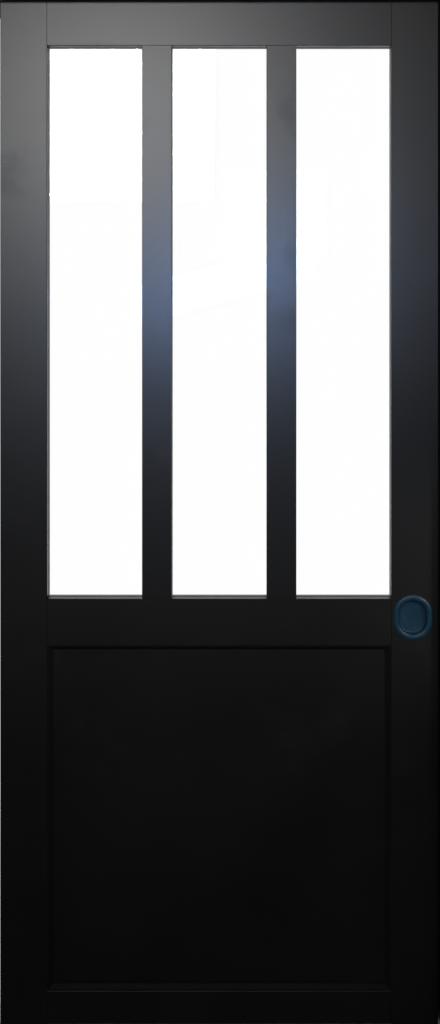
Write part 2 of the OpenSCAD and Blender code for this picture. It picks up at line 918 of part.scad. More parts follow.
module middle_post() {
    color(frame_black) difference() {
        translate([post_x, post_y, 0]) upright_board(post_w, wall_t, head_z);
        translate([post_x - overrun, post_y - overrun, rear_fascia_z])
            cube([post_w + 2 * overrun, fascia_t + overrun, rear_fascia_h + overrun]);
        guide_screw_places() screw_hole(guide_screw_d, guide_screw_l);
        post_screw_places() screw_hole(post_screw_d, post_screw_l);
    }
}

module head() {
    head_front = front_y + fascia_t;
    color(frame_black) difference() {
        translate([-inner_w / 2, head_front, head_z]) level_board(inner_w, back_y - head_front, head_t);
        track_screw_places() screw_hole(track_screw_d, track_screw_l);
        front_fascia_screw_places() screw_hole(fascia_screw_d, fascia_screw_l);
        rear_fascia_screw_places() screw_hole(fascia_screw_d, rear_screw_l);
        post_screw_places() screw_hole(post_screw_d, post_screw_l);
        for (side = [0, 1])
            at_jamb(side) jamb_screw_places() screw_hole(jamb_screw_d, jamb_screw_l);
    }
}

module front_fascia() {
    bottom_z = leaf_top - fascia_cover;
    color(frame_black) difference() {
        translate([-inner_w / 2, front_y, bottom_z]) level_board(inner_w, fascia_t, frame_h - bottom_z);
        front_fascia_screw_places() screw_hole(fascia_screw_d, fascia_screw_l);
    }
}

module rear_fascia() {
    color(frame_black) difference() {
        translate([-inner_w / 2, post_y, rear_fascia_z])
            level_board(inner_w, fascia_t, rear_fascia_h);
        rear_fascia_screw_places() screw_hole(fascia_screw_d, rear_screw_l);
    }
}

module front_fascia_screw_places() {
    for (x = spread(fascia_screw_count, fascia_screw_end))
        translate([x, front_y, head_z + head_t / 2]) rotate([-90, 0, 0]) children();
}

module rear_fascia_screw_places() {
    for (x = spread(fascia_screw_count, fascia_screw_end))
        translate([x, post_y + fascia_t / 2, frame_h]) mirror([0, 0, 1]) children();
}

module post_screw_places() {
    for (y = [post_y + fascia_t + post_screw_inset, back_y - post_screw_inset])
        translate([post_x + post_w / 2, y, frame_h]) mirror([0, 0, 1]) children();
}

module front_fascia_screws() {
    color(frame_black) front_fascia_screw_places() screw_form(fascia_screw_d, fascia_screw_l);
}

module rear_fascia_screws() {
    color(zinc) rear_fascia_screw_places() screw_form(fascia_screw_d, rear_screw_l);
}

module post_screws() { color(zinc) post_screw_places() screw_form(post_screw_d, post_screw_l); }

// Floor guide

module guide_screw_places() {
    for (z = guide_screw_zs)
        translate([guide_x + guide_l / 2, post_y - guide_plate_t, z]) rotate([-90, 0, 0]) children();
}

// A folded plate: an upstand on the post and a foot that reaches under the leaf
module guide_bracket() {
    foot_front = leaf_mid_y - guide_groove_w / 2 - guide_front_gap;
    color(zinc) difference() {
        translate([guide_x, 0, 0]) along_x(guide_l) polygon([
            [foot_front, 0], [post_y, 0], [post_y, guide_upstand_h],
            [post_y - guide_plate_t, guide_upstand_h], [post_y - guide_plate_t, guide_plate_t],
            [foot_front, guide_plate_t]]);
        guide_screw_places() screw_hole(guide_screw_d, guide_screw_l);
    }
}

// The fin that runs in the groove under the leaf
module guide_fin() {
    fin_top = floor_gap + guide_groove_d - guide_fin_top_gap;
    color(pale_nylon)
        translate([
            guide_x + (guide_l - guide_fin_l) / 2, leaf_mid_y - guide_fin_w / 2, guide_plate_t])
            linear_extrude(fin_top - guide_plate_t)
                eased_rectangle(guide_fin_l, guide_fin_w, guide_fin_ease);
}

module guide_screws() { color(zinc) guide_screw_places() screw_form(guide_screw_d, guide_screw_l); }

strike_jamb();
end_jamb();
middle_post();
head();
front_fascia();
rear_fascia();
strike_seal();
jamb_screws();
front_fascia_screws();
rear_fascia_screws();
post_screws();
head_track();
track_screws();
closing_stop();
closing_buffer();
opening_stop();
opening_buffer();
stop_clamps();
stop_screws();
guide_bracket();
guide_fin();
guide_screws();
left_stile();
right_stile();
top_rail();
middle_rail();
bottom_rail();
left_glazing_bar();
right_glazing_bar();
lower_panel();
left_glass();
middle_glass();
right_glass();
left_glazing_beads();
middle_glazing_beads();
right_glazing_beads();
front_panel_moulding();
rear_panel_moulding();
front_pull();
rear_pull();
left_top_plate();
right_top_plate();
top_plate_screws();
left_hanger_bolt();
right_hanger_bolt();
lock_nuts();
clamp_nuts();
left_trolley();
right_trolley();
left_outer_axle();
left_outer_wheels();
left_inner_axle();
left_inner_wheels();
right_inner_axle();
right_inner_wheels();
right_outer_axle();
right_outer_wheels();
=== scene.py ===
"""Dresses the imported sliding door: painted wood, glass, powder coat, metal and nylon finishes, threaded
fasteners, a pull swept round its oval, and a plain studio with the camera of the photograph."""

import json
import logging
import math
from dataclasses import dataclass
from enum import Enum
from typing import Any, Iterable, Optional

import bmesh
import bpy
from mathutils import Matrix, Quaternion, Vector

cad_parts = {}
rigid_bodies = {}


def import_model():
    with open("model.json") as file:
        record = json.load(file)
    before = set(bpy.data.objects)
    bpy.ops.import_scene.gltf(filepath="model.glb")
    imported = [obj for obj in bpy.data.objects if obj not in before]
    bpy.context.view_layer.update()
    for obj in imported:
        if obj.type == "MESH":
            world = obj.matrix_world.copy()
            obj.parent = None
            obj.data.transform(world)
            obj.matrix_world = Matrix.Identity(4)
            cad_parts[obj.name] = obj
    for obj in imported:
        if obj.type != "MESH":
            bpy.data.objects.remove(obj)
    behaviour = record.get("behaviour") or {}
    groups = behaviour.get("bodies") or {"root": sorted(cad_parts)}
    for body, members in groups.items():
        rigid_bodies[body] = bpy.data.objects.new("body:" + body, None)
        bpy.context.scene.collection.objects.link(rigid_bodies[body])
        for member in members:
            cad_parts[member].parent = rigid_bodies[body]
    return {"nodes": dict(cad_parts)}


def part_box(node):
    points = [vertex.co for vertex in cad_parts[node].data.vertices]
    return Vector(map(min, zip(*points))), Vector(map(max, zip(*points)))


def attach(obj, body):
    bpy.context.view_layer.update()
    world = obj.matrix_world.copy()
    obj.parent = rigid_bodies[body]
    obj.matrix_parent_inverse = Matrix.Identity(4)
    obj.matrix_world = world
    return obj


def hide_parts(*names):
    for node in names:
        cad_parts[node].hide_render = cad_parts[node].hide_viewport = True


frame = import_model()

LOG = logging.getLogger("sliding_door")
Colour = tuple[float, float, float]
Point = tuple[float, float, float]
Range = tuple[float, float]
Socket = bpy.types.NodeSocket
FLOAT, WHOLE, VECTOR, FINISH = "NodeSocketFloat", "NodeSocketInt", "NodeSocketVector", "NodeSocketMaterial"
MM = 0.001  # a millimetre in metres
MIDDLE = (0.5,)  # a single place in the middle of a box


class Graph:
    """Adds and joins the nodes of one tree."""

    COLOUR_A, COLOUR_B, COLOUR_RESULT = 6, 7, 2  # numbers of a Mix node's colour sockets

    def __init__(self, tree: bpy.types.NodeTree) -> None:
        """Keeps the tree that the nodes go into."""
        self.tree = tree

    def feed(self, socket: Socket, value: Any) -> None:
        """Gives one input a value.

        Args:
            socket: The input.
            value: Another node's output to join to it, or a plain value.
        """
        if isinstance(value, bpy.types.NodeSocket):
            self.tree.links.new(value, socket)
        else:
            socket.default_value = value

    def add(self, kind: str, values: Optional[dict[Any, Any]] = None, **settings: Any) -> bpy.types.Node:
        """Adds a node.

        Args:
            kind: The node's type name.
            values: What its inputs get, by name or number.
            **settings: The node's own properties.

        Returns:
            The new node.
        """
        node = self.tree.nodes.new(kind)
        for name, value in settings.items():
            setattr(node, name, value)
        for key, value in (values or {}).items():
            self.feed(node.inputs[key], value)
        return node

    def math(self, operation: str, *values: Any, clamp: bool = False) -> Socket:
        """Adds a Math node.

        Args:
            operation: What it does.
            *values: Its inputs in order.
            clamp: Whether the result stays from 0 to 1.

        Returns:
            The result.
        """
        kind = "ShaderNodeMath"
        return self.add(kind, dict(enumerate(values)), operation=operation, use_clamp=clamp).outputs[0]

    def ramp(self, value: Socket, low: float, high: float, to_low: float, to_high: float) -> Socket:
        """Turns one range of values smoothly into another.

        Args:
            value: What is turned.
            low: Where the range starts.
            high: Where it ends.
            to_low: The result at its start.
            to_high: The result at its end.

        Returns:
            The result.
        """
        return self.add(
            "ShaderNodeMapRange", {0: value, 1: low, 2: high, 3: to_low, 4: to_high},
            interpolation_type="SMOOTHSTEP").outputs[0]

    def tint(self, share: Any, low: Colour, high: Colour) -> Socket:
        """Mixes two colours.

        Args:
            share: How much of the second colour there is.
            low: The first colour.
            high: The second colour.

        Returns:
            The mixed colour.
        """
        colours = {self.COLOUR_A: (*low, 1.0), self.COLOUR_B: (*high, 1.0)}
        node = self.add("ShaderNodeMix", {0: share, **colours}, data_type="RGBA")
        return node.outputs[self.COLOUR_RESULT]


class Effect:
    """A shader group that several finishes share."""

    def __init__(self, name: str, inputs: dict[str, str], outputs: Iterable[str]) -> None:
        """Makes the empty group.

        Args:
            name: The group's name.
            inputs: The socket type of each input, by name.
            outputs: The names of its values.
        """
        self.tree = bpy.data.node_groups.new(name, "ShaderNodeTree")
        self.graph = Graph(self.tree)
        for label, kind in inputs.items():
            self.tree.interface.new_socket(label, in_out="INPUT", socket_type=kind)
        for label in outputs:
            self.tree.interface.new_socket(label, in_out="OUTPUT", socket_type=FLOAT)
        self.source = self.graph.add("NodeGroupInput")
        self.result = self.graph.add("NodeGroupOutput")

    def place(self) -> Socket:
        """Gives the point's place on the object."""
        return self.graph.add("ShaderNodeTexCoord").outputs["Object"]

    def stretched(self) -> Socket:
        """Gives that place drawn out by the Stretch input."""
        return self.graph.add(
            "ShaderNodeVectorMath", {0: self.place(), 1: self.source.outputs["Stretch"]},
            operation="MULTIPLY").outputs[0]

    def noise(self, place: Socket, scale: Any, detail: float, roughness: float) -> Socket:
        """Adds a noise texture.

        Args:
            place: Where it is read.
            scale: How fine it is, per metre.
            detail: How many finer layers it has.
            roughness: How strong they are.

        Returns:
            The noise from 0 to 1.
        """
        return self.graph.add(
            "ShaderNodeTexNoise",
            {"Vector": place, "Scale": scale, "Detail": detail, "Roughness": roughness}).outputs[0]


class Effects:
    """The shared effects, each built once."""

    SPREAD: Range = (0.3, 0.7)  # the part of a noise that is drawn out to the full range
    PORES: Range = (0.38, 0.6)  # the noise at the bottom of a pore and at the face of the wood
    SHADES = 2.6  # how fine the broad shades of a board are, per metre
    MARKS_START = 0.72  # the noise at which marks start where nothing is covered
    MARKS_REACH = 0.34  # how far a full cover brings that down
    MARKS_EDGE = 5.0  # how hard marks end
    SPECKS = 1400.0  # how fine dust is, per metre
    DUST: Range = (0.66, 0.74)  # the noise that is dust
    DUST_MASK = 0.45  # how much of a mark a speck is

    def __init__(self) -> None:
        """Builds every group."""
        self.grain = self._grain()
        self.peel = self._peel()
        self.handling = self._handling()
        self.lines = self._lines()

    def _grain(self) -> bpy.types.NodeTree:
        """Builds the wood grain that shows faintly through paint.

        Returns:
            The group.
        """
        effect = Effect("grain_through_paint", {"Stretch": VECTOR, "Scale": FLOAT}, ("Height", "Shade"))
        fibres = effect.noise(effect.stretched(), effect.source.outputs["Scale"], detail=5.0, roughness=0.6)
        pores = effect.graph.ramp(fibres, *self.PORES, 0.0, 1.0)
        effect.graph.feed(effect.result.inputs["Height"], pores)
        broad = effect.noise(effect.place(), self.SHADES, detail=3.0, roughness=0.55)
        effect.graph.feed(effect.result.inputs["Shade"], effect.graph.ramp(broad, *self.SPREAD, 0.0, 1.0))
        return effect.tree

    def _peel(self) -> bpy.types.NodeTree:
        """Builds the soft dimples of a sprayed, rolled or moulded skin.

        Returns:
            The group.
        """
        effect = Effect("dimpled_skin", {"Scale": FLOAT}, ("Height",))
        fine = effect.noise(effect.place(), effect.source.outputs["Scale"], detail=2.0, roughness=0.45)
        effect.graph.feed(effect.result.inputs["Height"], effect.graph.ramp(fine, *self.SPREAD, 0.0, 1.0))
        return effect.tree

    def _handling(self) -> bpy.types.NodeTree:
        """Builds the mask of dust, wiping and finger marks.

        Returns:
            The group.
        """
        effect = Effect("handling_marks", {"Scale": FLOAT, "Cover": FLOAT}, ("Mask",))
        graph = effect.graph
        patches = effect.noise(effect.place(), effect.source.outputs["Scale"], detail=6.0, roughness=0.62)
        lower = graph.math("MULTIPLY", effect.source.outputs["Cover"], self.MARKS_REACH)
        start = graph.math("SUBTRACT", self.MARKS_START, lower)
        rise = graph.math("SUBTRACT", patches, start)
        soft = graph.math("MULTIPLY", rise, self.MARKS_EDGE, clamp=True)
        specks = effect.noise(effect.place(), self.SPECKS, detail=1.0, roughness=0.4)
        dust = graph.ramp(specks, *self.DUST, 0.0, self.DUST_MASK)
        graph.feed(effect.result.inputs["Mask"], graph.math("MAXIMUM", soft, dust))
        return effect.tree

    def _lines(self) -> bpy.types.NodeTree:
        """Builds the fine lines that drawing or brushing leaves on metal.

        Returns:
            The group.
        """
        effect = Effect("drawn_lines", {"Stretch": VECTOR, "Scale": FLOAT}, ("Lines",))
        lines = effect.noise(effect.stretched(), effect.source.outputs["Scale"], detail=4.0, roughness=0.7)
        effect.graph.feed(effect.result.inputs["Lines"], effect.graph.ramp(lines, *self.SPREAD, 0.0, 1.0))
        return effect.tree


@dataclass(frozen=True)
class Relief:
    """A pattern of bumps: how fine it is per metre, its depth in metres and how much of it shows."""

    scale: float
    depth: float
    show: float = 0.6


@dataclass(frozen=True)
class Marks:
    """Dust, wiping and finger marks: how fine they are per metre and how much they cover."""

    scale: float
    cover: float


class Paintwork:
    """A material with one Principled shader whose inputs are set or fed."""

    def __init__(self, name: str) -> None:
        """Makes the material.

        Args:
            name: The material's name.
        """
        self.material = bpy.data.materials.new(name)
        self.material.use_nodes = True
        self.material.node_tree.nodes.clear()
        self.graph = Graph(self.material.node_tree)
        self.shader = self.graph.add("ShaderNodeBsdfPrincipled")
        self.graph.add("ShaderNodeOutputMaterial", {"Surface": self.shader.outputs[0]})

    def set(self, **values: Any) -> None:
        """Sets shader inputs; a name's underscores stand for spaces."""
        for name, value in values.items():
            self.graph.feed(self.shader.inputs[name.replace("_", " ")], value)

    def effect(self, tree: bpy.types.NodeTree, **values: Any) -> bpy.types.Node:
        """Places a shared effect.

        Args:
            tree: The group.
            **values: Its inputs.

        Returns:
            The group's node.
        """
        return self.graph.add("ShaderNodeGroup", values, node_tree=tree)

    def marked(self, effects: Effects, marks: Marks) -> Socket:
        """Gives the mask of marks of handling."""
        return self.effect(effects.handling, Scale=marks.scale, Cover=marks.cover).outputs["Mask"]

    def bump(self, height: Socket, relief: Relief, under: Optional[Socket] = None) -> Socket:
        """Raises the surface by a height.

        Args:
            height: The height from 0 to 1.
            relief: How deep that is and how much of it shows.
            under: A bump that this one lies on.

        Returns:
            The bumped normal.
        """
        values = {"Height": height, "Distance": relief.depth, "Strength": relief.show}
        if under is not None:
            values["Normal"] = under
        return self.graph.add("ShaderNodeBump", values).outputs[0]


class Grain(Enum):
    """Which way a board's grain runs, as the drawing out of its pattern."""

    UPRIGHT = (1.0, 1.0, 0.035)
    LEVEL = (0.035, 1.0, 1.0)


@dataclass(frozen=True)
class SatinPaint:
    """Black satin paint rolled on wood."""

    name: str
    grain: Grain
    colour: Colour = (0.0021, 0.0021, 0.0022)
    worn: Colour = (0.0034, 0.0034, 0.0035)
    specular: float = 0.28
    roughness: Range = (0.40, 0.49)
    fibres: Relief = Relief(420.0, 0.00006, 0.35)
    dimples: Relief = Relief(620.0, 0.00005, 0.4)
    marks: Marks = Marks(4.5, 0.55)

    def material(self, effects: Effects) -> bpy.types.Material:
        """Builds the paint.

        Args:
            effects: The shared effects.

        Returns:
            The material.
        """
        work = Paintwork(self.name)
        grain = work.effect(effects.grain, Stretch=self.grain.value, Scale=self.fibres.scale)
        marks = work.marked(effects, self.marks)
        peel = work.effect(effects.peel, Scale=self.dimples.scale)
        work.set(
            Base_Color=work.graph.tint(grain.outputs["Shade"], self.colour, self.worn),
            Roughness=work.graph.ramp(marks, 0.0, 1.0, *self.roughness),
            Specular_IOR_Level=self.specular)
        fibres = work.bump(grain.outputs["Height"], self.fibres)
        work.set(Normal=work.bump(peel.outputs["Height"], self.dimples, fibres))
        return work.material


@dataclass(frozen=True)
class ClearGlass:
    """Clear, faintly waved float glass, coated to dull its reflections, with a little dust on it."""

    name: str = "clear_float_glass"
    colour: Colour = (0.998, 1.0, 0.999)
    dusty: Colour = (0.992, 0.994, 0.993)
    refraction: float = 1.5
    reflection: Colour = (0.2, 0.2, 0.2)
    roughness: Range = (0.0, 0.02)
    waves: Relief = Relief(7.0, 0.00004, 0.2)
    marks: Marks = Marks(3.0, 0.35)

    def material(self, effects: Effects) -> bpy.types.Material:
        """Builds the glass.

        Args:
            effects: The shared effects.

        Returns:
            The material.
        """
        work = Paintwork(self.name)
        marks = work.marked(effects, self.marks)
        waves = work.effect(effects.peel, Scale=self.waves.scale)
        work.set(
            Base_Color=work.graph.tint(marks, self.colour, self.dusty),
            IOR=self.refraction, Transmission_Weight=1.0, Specular_Tint=(*self.reflection, 1.0),
            Roughness=work.graph.ramp(marks, 0.0, 1.0, *self.roughness),
            Normal=work.bump(waves.outputs["Height"], self.waves))
        return work.material


@dataclass(frozen=True)
class Skin:
    """A sprayed or moulded skin: powder coat, phosphate, nylon or rubber."""

    name: str
    colour: Colour
    shade: Colour
    roughness: Range
    dimples: Relief
    specular: float = 0.5
    marks: Marks = Marks(38.0, 0.6)

    def material(self, effects: Effects) -> bpy.types.Material:
        """Builds the skin.

        Args:
            effects: The shared effects.

        Returns:
            The material.
        """
        work = Paintwork(self.name)
        peel = work.effect(effects.peel, Scale=self.dimples.scale)
        marks = work.marked(effects, self.marks)
        work.set(
            Base_Color=work.graph.tint(marks, self.colour, self.shade),
            Roughness=work.graph.ramp(marks, 0.0, 1.0, *self.roughness),
            Specular_IOR_Level=self.specular,
            Normal=work.bump(peel.outputs["Height"], self.dimples))
        return work.material


@dataclass(frozen=True)
class DrawnMetal:
    """Metal with fine lines from drawing, rolling or plating."""

    name: str
    colour: Colour
    shade: Colour
    roughness: Range
    stretch: Point
    lines: Relief
    metallic: float = 1.0
    marks: Marks = Marks(26.0, 0.7)

    def material(self, effects: Effects) -> bpy.types.Material:
        """Builds the metal.

        Args:
            effects: The shared effects.

        Returns:
            The material.
        """
        work = Paintwork(self.name)
        lines = work.effect(effects.lines, Stretch=self.stretch, Scale=self.lines.scale).outputs["Lines"]
        marks = work.marked(effects, self.marks)
        work.set(
            Base_Color=work.graph.tint(marks, self.colour, self.shade),
            Roughness=work.graph.ramp(lines, 0.0, 1.0, *self.roughness),
            Metallic=self.metallic,
            Normal=work.bump(lines, self.lines))
        return work.material


class Finishes:
    """Every finish of the door."""

    DULL: Range = (0.68, 0.76)  # the roughness of paint laid on with a brush

    def __init__(self) -> None:
        """Builds the materials."""
        effects = Effects()
        self.upright_paint = SatinPaint("satin_black_upright", Grain.UPRIGHT).material(effects)
        self.level_paint = SatinPaint("satin_black_level", Grain.LEVEL).material(effects)
        self.brushed_upright = SatinPaint(
            "brushed_black_upright", Grain.UPRIGHT, specular=0.2, roughness=self.DULL).material(effects)
        self.brushed_level = SatinPaint(
            "brushed_black_level", Grain.LEVEL, specular=0.2, roughness=self.DULL).material(effects)
        self.dull_level = SatinPaint(
            "dull_black_level", Grain.LEVEL, specular=0.1, roughness=self.DULL).material(effects)
        self.glass = ClearGlass().material(effects)
        self.pull = Skin(
            "blue_black_powder_coat", (0.0016, 0.0137, 0.0258), (0.0025, 0.0176, 0.0322),
            (0.42, 0.54), Relief(1500.0, 0.00003), specular=0.2).material(effects)
        self.aluminium = DrawnMetal(
            "anodised_aluminium", (0.60, 0.61, 0.63), (0.50, 0.51, 0.53), (0.28, 0.46),
            (0.02, 1.0, 1.0), Relief(900.0, 0.00002, 0.35)).material(effects)
        self.zinc = DrawnMetal(
            "zinc_plate", (0.56, 0.57, 0.60), (0.44, 0.46, 0.50), (0.24, 0.42),
            (1.0, 1.0, 0.6), Relief(420.0, 0.00002, 0.35)).material(effects)
        self.phosphate = Skin(
            "black_phosphate", (0.016, 0.016, 0.017), (0.028, 0.028, 0.030), (0.42, 0.60),
            Relief(2600.0, 0.00002), specular=0.6).material(effects)
        self.black_nylon = Skin(
            "black_nylon", (0.014, 0.014, 0.015), (0.024, 0.024, 0.026), (0.40, 0.55),
            Relief(1800.0, 0.00003)).material(effects)
        self.pale_nylon = Skin(
            "pale_nylon", (0.70, 0.70, 0.65), (0.60, 0.60, 0.55), (0.35, 0.50),
            Relief(1500.0, 0.00002)).material(effects)
        self.rubber = Skin(
            "moulded_rubber", (0.012, 0.012, 0.012), (0.022, 0.022, 0.022), (0.62, 0.80),
            Relief(1200.0, 0.00004)).material(effects)


def dress(finish: bpy.types.Material, *nodes: str) -> None:
    """Gives CAD nodes a finish.

    Args:
        finish: The material.
        *nodes: The nodes' names.
    """
    for name in nodes:
        mesh = frame["nodes"][name].data
        mesh.materials.clear()
        mesh.materials.append(finish)
        LOG.info("dressed %s with %s", name, finish.name)


class Tool:
    """A geometry tree with named inputs, run once to leave a plain mesh."""

    def __init__(self, name: str, inputs: dict[str, str]) -> None:
        """Makes the tree with its sockets.

        Args:
            name: The tree's name.
            inputs: The socket type of each input, by name.
        """
        self.tree = bpy.data.node_groups.new(name, "GeometryNodeTree")
        self.graph = Graph(self.tree)
        self.ids: dict[str, str] = {}
        sockets = self.tree.interface
        sockets.new_socket("Geometry", in_out="INPUT", socket_type="NodeSocketGeometry")
        for label, kind in inputs.items():
            self.ids[label] = sockets.new_socket(label, in_out="INPUT", socket_type=kind).identifier
        sockets.new_socket("Geometry", in_out="OUTPUT", socket_type="NodeSocketGeometry")
        self.source = self.graph.add("NodeGroupInput")
        self.result = self.graph.add("NodeGroupOutput")

    def value(self, label: str) -> Socket:
        """Gives one of the tree's inputs."""
        return self.source.outputs[label]

    def raised(self, geometry: Socket, height: Socket) -> Socket:
        """Shifts a geometry up by a height."""
        shift = self.graph.add("ShaderNodeCombineXYZ", {"Z": height}).outputs[0]
        return self.graph.add(
            "GeometryNodeTransform", {"Geometry": geometry, "Translation": shift}).outputs[0]

    def joined(self, *pieces: Socket) -> Socket:
        """Joins geometries into one.

        Args:
            *pieces: The geometries.

        Returns:
            The joined geometry.
        """
        join = self.graph.add("GeometryNodeJoinGeometry")
        for piece in pieces:
            self.tree.links.new(piece, join.inputs[0])
        return join.outputs[0]

    def smooth(self, geometry: Socket) -> Socket:
        """Shades a geometry smooth."""
        return self.graph.add("GeometryNodeSetShadeSmooth", {"Geometry": geometry}).outputs[0]

    def finish(self, geometry: Socket) -> None:
        """Ends the tree: makes instances real and gives them the Finish input.

        Args:
            geometry: What the tree has made.
        """
        real = self.graph.add("GeometryNodeRealizeInstances", {"Geometry": geometry}).outputs[0]
        finished = self.graph.add(
            "GeometryNodeSetMaterial", {"Geometry": real, "Material": self.value("Finish")})
        self.tree.links.new(finished.outputs[0], self.result.inputs[0])

    def run(self, name: str, carrier_mesh: bpy.types.Mesh, **values: Any) -> bpy.types.Object:
        """Runs the tree on a mesh.

        Args:
            name: The new piece's name.
            carrier_mesh: What goes into the tree.
            **values: Its inputs; a name's underscores stand for spaces.

        Returns:
            The piece, with a plain mesh.
        """
        carrier = bpy.data.objects.new(name + "_carrier", carrier_mesh)
        bpy.context.scene.collection.objects.link(carrier)
        modifier = carrier.modifiers.new("tree", "NODES")
        modifier.node_group = self.tree
        for label, value in values.items():
            modifier[self.ids[label.replace("_", " ")]] = value
        ready = carrier.evaluated_get(bpy.context.evaluated_depsgraph_get())
        mesh = bpy.data.meshes.new_from_object(ready)
        mesh.name = name
        carrier.modifiers.remove(modifier)
        bpy.data.objects.remove(carrier)
        piece = bpy.data.objects.new(name, mesh)
        bpy.context.scene.collection.objects.link(piece)
        return piece


def points_mesh(name: str, places: Iterable[Point], aims: Iterable[Point]) -> bpy.types.Mesh:
    """Makes a mesh of bare points that each carry the direction they aim in.

    Args:
        name: The mesh's name.
        places: The points.
        aims: The direction at each point.

    Returns:
        The mesh.
    """
    mesh = bpy.data.meshes.new(name)
    mesh.from_pydata(list(places), [], [])
    aim = mesh.attributes.new("aim", "FLOAT_VECTOR", "POINT")
    aim.data.foreach_set("vector", [number for direction in aims for number in direction])
    return mesh


def piece_for(piece: bpy.types.Object, body: str, slot: str, *nodes: str) -> None:
    """Puts a finished piece in the place of CAD nodes.

    Args:
        piece: The piece.
        body: The body it rides on.
        slot: The record's slot of its finish; not used.
        *nodes: The nodes it stands for.
    """
    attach(piece, body)
    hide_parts(*nodes)
    LOG.info("made %s for %s: %d faces", piece.name, ", ".join(nodes), len(piece.data.polygons))


class FastenerTool(Tool):
    """What screws and bolts share: a thread and the setting out on points."""

    TURN_STEPS, RIDGE_SIDES = 18, 4
    RANDOM_MAX, RANDOM_RESULT = 3, 1  # numbers of a Random Value node's float sockets

    def thread(self, core: Socket, crest: Socket, pitch: Socket, length: Socket) -> Socket:
        """Winds a thread up from the origin.

        Args:
            core: The radius of the core.
            crest: The radius over the thread.
            pitch: The rise of a turn.
            length: How far the thread goes.

        Returns:
            The ridge of the thread.
        """
        graph = self.graph
        turns = graph.math("DIVIDE", length, pitch)
        path = graph.add("GeometryNodeCurveSpiral", {
            "Resolution": self.TURN_STEPS, "Rotations": turns, "Start Radius": core, "End Radius": core,
            "Height": length}).outputs[0]
        ridge = graph.add("GeometryNodeCurvePrimitiveCircle", {
            "Resolution": self.RIDGE_SIDES, "Radius": graph.math("SUBTRACT", crest, core)}).outputs[0]
        upright = graph.add("GeometryNodeSetCurveNormal", {"Curve": path}, mode="Z_UP").outputs[0]
        return graph.add("GeometryNodeCurveToMesh", {
            "Curve": upright, "Profile Curve": ridge, "Fill Caps": True}).outputs[0]

    def set_out(self, fastener: Socket) -> None:
        """Ends the tree with a fastener on each point, aimed by it and turned at random.

        Args:
            fastener: One fastener, with its head at the origin and its point along +z.
        """
        graph = self.graph
        aim = graph.add("GeometryNodeInputNamedAttribute", {"Name": "aim"}, data_type="FLOAT_VECTOR")
        aimed = graph.add("FunctionNodeAlignRotationToVector", {"Vector": aim.outputs[0]}, axis="Z")
        turn = graph.add(
            "FunctionNodeRandomValue", {self.RANDOM_MAX: math.tau, "Seed": self.value("Seed")},
            data_type="FLOAT").outputs[self.RANDOM_RESULT]
        spin = graph.add("FunctionNodeAxisAngleToRotation", {"Angle": turn})
        turned = graph.add(
            "FunctionNodeRotateRotation",
            {"Rotation": aimed.outputs[0], "Rotate By": spin.outputs[0]}, rotation_space="LOCAL")
        placed = graph.add("GeometryNodeInstanceOnPoints", {
            "Points": self.source.outputs["Geometry"], "Instance": fastener,
            "Rotation": turned.outputs[0]})
        self.finish(placed.outputs[0])


